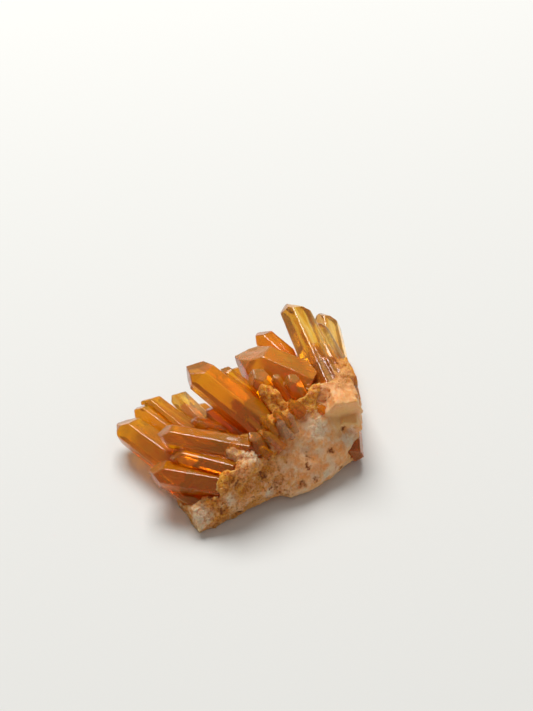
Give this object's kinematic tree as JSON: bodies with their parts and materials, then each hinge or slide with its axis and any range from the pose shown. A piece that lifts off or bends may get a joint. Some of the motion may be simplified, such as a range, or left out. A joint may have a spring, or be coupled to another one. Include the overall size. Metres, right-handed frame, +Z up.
{
  "type": "tangerine quartz cluster",
  "caption": "Cluster of orange six-sided quartz crystals with faceted tips, fanning out from a broken milky quartz base that lies on its flat underside.",
  "frame": {"origin": "bottom centre of the cluster's box, on the surface it rests on", "axes": "+Z up; the base's broken wall faces -Y and a little to +X, and the crystals point to -X and +Y"},
  "size_m": [0.0464, 0.0496, 0.0185],
  "materials": {
    "amber_quartz": "clear orange-brown with glassy faces",
    "dark_amber_quartz": "deep red-brown, see-through, glassy faces",
    "pale_amber_quartz": "pale honey, see-through, glassy faces",
    "frosted_quartz": "orange with a thin rusty film, half dull",
    "milky_quartz": "milky pinkish tan, broken and sugary, with rust in its pits"
  },
  "bodies": {
    "root": {"matrix": "milky_quartz", "central_crystal": "amber_quartz", "left_crystal": "amber_quartz", "right_tall_crystals": "amber_quartz", "top_crystals": "frosted_quartz", "middle_crystals": "amber_quartz", "front_left_crystal": "dark_amber_quartz", "bottom_left_crystal": "dark_amber_quartz", "left_rear_crystal_1": "dark_amber_quartz", "left_rear_crystal_2": "amber_quartz", "left_rear_crystal_3": "pale_amber_quartz", "lower_crystal": "dark_amber_quartz", "small_lower_crystal": "amber_quartz", "top_rear_crystal": "amber_quartz", "right_rear_crystal": "pale_amber_quartz", "right_edge_crystal": "pale_amber_quartz", "small_front_crystal": "dark_amber_quartz", "back_crystal_1": "amber_quartz", "back_crystal_2": "amber_quartz", "back_crystal_3": "amber_quartz", "back_crystal_4": "amber_quartz"}
  },
  "joints": []
}
